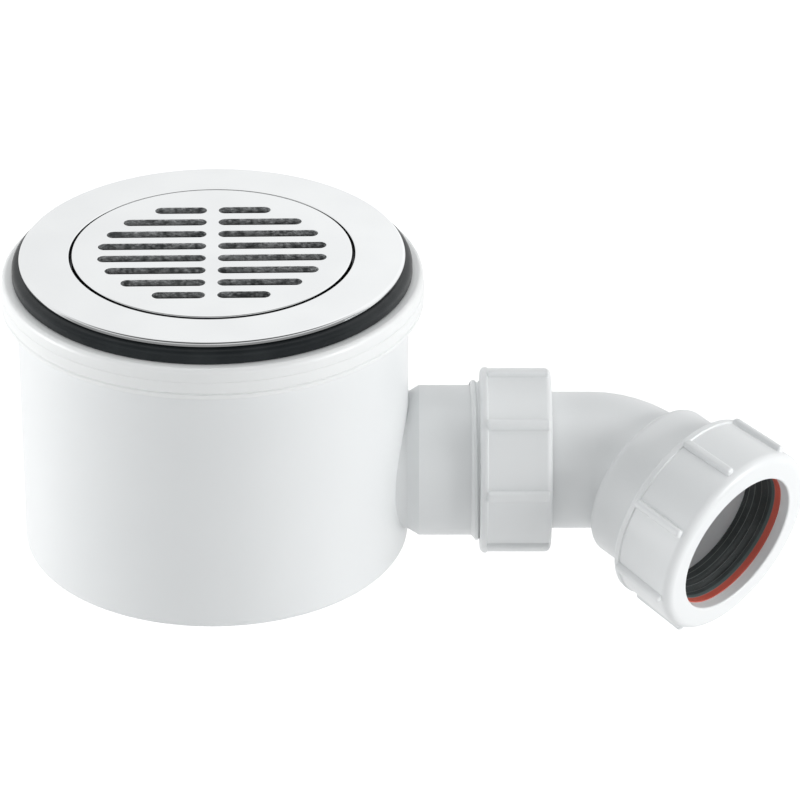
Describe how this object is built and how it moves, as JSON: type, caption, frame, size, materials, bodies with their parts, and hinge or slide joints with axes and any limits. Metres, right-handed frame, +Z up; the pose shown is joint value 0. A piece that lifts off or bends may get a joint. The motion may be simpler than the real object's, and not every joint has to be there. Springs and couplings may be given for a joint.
{
  "type": "shower trap",
  "caption": "Shower waste trap with a slotted lift-out cover, a flange that clamps the tray, a cup-shaped body and a swivel outlet bend with a compression nut for the waste pipe.",
  "frame": {"origin": "centre of the tray hole, on the plane where the flange clamps down", "axes": "+Z up out of the tray along the body's axis, +X along the side nozzle towards the outlet"},
  "size_m": [0.2367, 0.124, 0.1094],
  "materials": {
    "white_plastic": "moulded white plastic, low gloss",
    "chrome": "polished plating",
    "black_rubber": "moulded rubber",
    "grey_plastic": "dark moulded plastic",
    "red_plastic": "moulded plastic"
  },
  "bodies": {
    "trap": {"trap_body": "white_plastic", "body_collar": "white_plastic", "flange_seal": "black_rubber", "trap_cup": "grey_plastic"},
    "lift_out": {"grid_cover": "chrome", "dip_tube": "grey_plastic", "dip_tube_seal": "black_rubber"},
    "flange": {"waste_flange": "chrome"},
    "joint_washer": {"coupling_washer": "black_rubber"},
    "coupling_nut": {"coupling_nut": "white_plastic"},
    "bend": {"outlet_bend": "white_plastic", "pipe_seal": "black_rubber"},
    "slip_washer": {"slip_washer": "red_plastic"},
    "compression_nut": {"compression_nut": "white_plastic"}
  },
  "joints": [
    {"name": "flange_rise", "type": "slide", "parent": "trap", "child": "lift_out", "axis": [0, 0, 1], "range_m": [0, 0.0061]},
    {"name": "flange_turn", "type": "hinge", "parent": "lift_out", "child": "flange", "pos_m": [0, 0, 0], "axis": [0, 0, 1], "range_deg": [0, 720]},
    {"name": "coupling_draw", "type": "slide", "parent": "trap", "child": "joint_washer", "axis": [1, 0, 0], "range_m": [0, 0.00472]},
    {"name": "coupling_nut_turn", "type": "hinge", "parent": "joint_washer", "child": "coupling_nut", "pos_m": [0.0943, 0, -0.0679], "axis": [1, 0, 0], "range_deg": [0, 720]},
    {"name": "bend_swivel", "type": "hinge", "parent": "joint_washer", "child": "bend", "pos_m": [0.0943, 0, -0.0679], "axis": [1, 0, 0], "continuous": true},
    {"name": "compression_draw", "type": "slide", "parent": "bend", "child": "slip_washer", "axis": [0.7071, -0.6725, -0.2185], "range_m": [0, 0.00472]},
    {"name": "compression_nut_turn", "type": "hinge", "parent": "slip_washer", "child": "compression_nut", "pos_m": [0.1484, -0.02663, -0.07655], "axis": [0.7071, -0.6725, -0.2185], "range_deg": [0, 720]}
  ],
  "couplings": [
    {"joint": "flange_rise", "follows": "flange_turn", "m_per_rad": 0.00047746},
    {"joint": "coupling_draw", "follows": "coupling_nut_turn", "m_per_rad": 0.00036749},
    {"joint": "compression_draw", "follows": "compression_nut_turn", "m_per_rad": 0.00036749}
  ]
}
